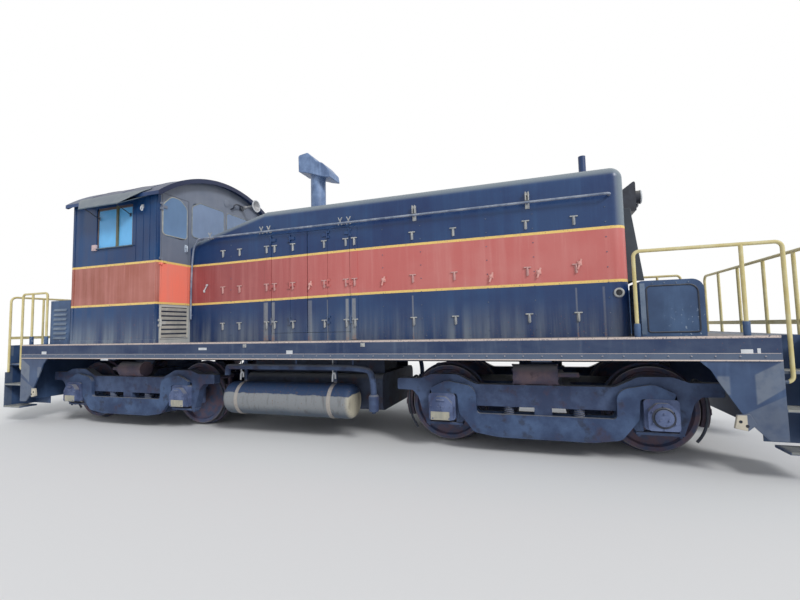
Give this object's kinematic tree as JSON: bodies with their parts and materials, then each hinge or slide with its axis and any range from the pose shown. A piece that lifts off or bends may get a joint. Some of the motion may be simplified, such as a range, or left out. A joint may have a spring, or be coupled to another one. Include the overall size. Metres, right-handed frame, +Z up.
{
  "type": "diesel switcher locomotive",
  "caption": "Diesel switcher locomotive: arched-roof cab, long hood with opening doors, end platforms with rails and steps, on swivelling drop-equalizer trucks.",
  "frame": {"origin": "floor level under the middle of the locomotive, on the centre line; the wheels stand on their flanges", "axes": "+X to the hood end, +Y to the left side, +Z up"},
  "size_m": [13.54, 3.5904, 4.6164],
  "materials": {
    "hood_paint": "weathered gloss",
    "cab_paint": "weathered gloss",
    "cab_front_paint": "weathered",
    "roof_paint": "weathered",
    "frame_paint": "weathered",
    "truck_iron": "painted, dusty",
    "equalizer_iron": "painted, dusty",
    "box_iron": "painted, dusty",
    "brake_iron": "rusty",
    "wheel_steel": "rolled, rusty",
    "rail_yellow": "satin",
    "coupler_iron": "rusty",
    "engine_grey": "oily",
    "stack_steel": "sooty",
    "lamp_black": "satin",
    "horn_steel": "satin",
    "window_glass": "dusty",
    "box_black": "weathered",
    "tank_paint": "weathered",
    "reservoir_paint": "dusty",
    "stand_grey": "satin",
    "floor_grey": "worn"
  },
  "bodies": {
    "body": {"underframe": "frame_paint", "front_end_plate": "frame_paint", "rear_end_plate": "frame_paint", "handrails": "rail_yellow", "couplers": "coupler_iron", "hood_right_side": "hood_paint", "hood_left_side": "hood_paint", "hood_top": "hood_paint", "radiator_front": "hood_paint", "engine_block": "engine_grey", "exhaust_stack": "stack_steel", "hood_grab_rails": "hood_paint", "headlights": "lamp_black", "cab_floor": "floor_grey", "cab_right_wall": "cab_paint", "cab_left_wall": "cab_paint", "cab_front_wall": "cab_front_paint", "cab_rear_wall": "cab_paint", "cab_roof": "roof_paint", "cab_glass": "window_glass", "cab_awnings": "cab_paint", "control_stand": "stand_grey", "driver_seat": "stand_grey", "air_horn": "horn_steel", "deck_boxes": "box_black", "fuel_tank": "tank_paint", "air_reservoirs": "reservoir_paint"},
    "front_truck": {"front_truck_frame": "truck_iron", "front_truck_equalizers": "equalizer_iron", "front_truck_journal_boxes": "box_iron", "front_truck_brakes": "brake_iron"},
    "front_outer_wheels": {"front_outer_wheelset": "wheel_steel"},
    "front_inner_wheels": {"front_inner_wheelset": "wheel_steel"},
    "rear_truck": {"rear_truck_frame": "truck_iron", "rear_truck_equalizers": "equalizer_iron", "rear_truck_journal_boxes": "box_iron", "rear_truck_brakes": "brake_iron"},
    "rear_outer_wheels": {"rear_outer_wheelset": "wheel_steel"},
    "rear_inner_wheels": {"rear_inner_wheelset": "wheel_steel"},
    "cab_front_door_leaf": {"cab_front_door": "cab_front_paint"},
    "cab_rear_door_leaf": {"cab_rear_door": "cab_paint"},
    "hood_right_rear_inner_half": {"hood_right_rear_inner_leaf": "hood_paint"},
    "hood_right_rear_outer_half": {"hood_right_rear_outer_leaf": "hood_paint"},
    "hood_right_front_inner_half": {"hood_right_front_inner_leaf": "hood_paint"},
    "hood_right_front_outer_half": {"hood_right_front_outer_leaf": "hood_paint"},
    "hood_left_rear_inner_half": {"hood_left_rear_inner_leaf": "hood_paint"},
    "hood_left_rear_outer_half": {"hood_left_rear_outer_leaf": "hood_paint"},
    "hood_left_front_inner_half": {"hood_left_front_inner_leaf": "hood_paint"},
    "hood_left_front_outer_half": {"hood_left_front_outer_leaf": "hood_paint"}
  },
  "joints": [
    {"name": "front_truck_swivel", "type": "hinge", "parent": "body", "child": "front_truck", "pos_m": [3.353, 0, 0.928], "axis": [0, 0, 1], "range_deg": [-5, 5]},
    {"name": "front_outer_axle", "type": "hinge", "parent": "front_truck", "child": "front_outer_wheels", "pos_m": [4.572, 0, 0.536], "axis": [0, 1, 0], "continuous": true},
    {"name": "front_inner_axle", "type": "hinge", "parent": "front_truck", "child": "front_inner_wheels", "pos_m": [2.134, 0, 0.536], "axis": [0, 1, 0], "continuous": true},
    {"name": "rear_truck_swivel", "type": "hinge", "parent": "body", "child": "rear_truck", "pos_m": [-3.353, 0, 0.928], "axis": [0, 0, 1], "range_deg": [-5, 5]},
    {"name": "rear_outer_axle", "type": "hinge", "parent": "rear_truck", "child": "rear_outer_wheels", "pos_m": [-4.572, 0, 0.536], "axis": [0, 1, 0], "continuous": true},
    {"name": "rear_inner_axle", "type": "hinge", "parent": "rear_truck", "child": "rear_inner_wheels", "pos_m": [-2.134, 0, 0.536], "axis": [0, 1, 0], "continuous": true},
    {"name": "cab_front_door_hinge", "type": "hinge", "parent": "body", "child": "cab_front_door_leaf", "pos_m": [-2.371, -1.425, 2.6], "axis": [0, 0, -1], "range_deg": [0, 95]},
    {"name": "cab_rear_door_hinge", "type": "hinge", "parent": "body", "child": "cab_rear_door_leaf", "pos_m": [-4.351, 1.425, 2.6], "axis": [0, 0, -1], "range_deg": [0, 95]},
    {"name": "hood_right_rear_post_hinge", "type": "hinge", "parent": "body", "child": "hood_right_rear_inner_half", "pos_m": [-0.72, -0.851, 2.3], "axis": [0, 0, -1], "range_deg": [0, 90]},
    {"name": "hood_right_rear_fold_hinge", "type": "hinge", "parent": "hood_right_rear_inner_half", "child": "hood_right_rear_outer_half", "pos_m": [-0.37, -0.851, 2.3], "axis": [0, 0, -1], "range_deg": [0, 150]},
    {"name": "hood_right_front_post_hinge", "type": "hinge", "parent": "body", "child": "hood_right_front_inner_half", "pos_m": [0.68, -0.851, 2.3], "axis": [0, 0, 1], "range_deg": [0, 90]},
    {"name": "hood_right_front_fold_hinge", "type": "hinge", "parent": "hood_right_front_inner_half", "child": "hood_right_front_outer_half", "pos_m": [0.3, -0.851, 2.3], "axis": [0, 0, 1], "range_deg": [0, 150]},
    {"name": "hood_left_rear_post_hinge", "type": "hinge", "parent": "body", "child": "hood_left_rear_inner_half", "pos_m": [-0.72, 0.851, 2.3], "axis": [0, 0, 1], "range_deg": [0, 90]},
    {"name": "hood_left_rear_fold_hinge", "type": "hinge", "parent": "hood_left_rear_inner_half", "child": "hood_left_rear_outer_half", "pos_m": [-0.37, 0.851, 2.3], "axis": [0, 0, 1], "range_deg": [0, 150]},
    {"name": "hood_left_front_post_hinge", "type": "hinge", "parent": "body", "child": "hood_left_front_inner_half", "pos_m": [0.68, 0.851, 2.3], "axis": [0, 0, -1], "range_deg": [0, 90]},
    {"name": "hood_left_front_fold_hinge", "type": "hinge", "parent": "hood_left_front_inner_half", "child": "hood_left_front_outer_half", "pos_m": [0.3, 0.851, 2.3], "axis": [0, 0, -1], "range_deg": [0, 150]}
  ]
}
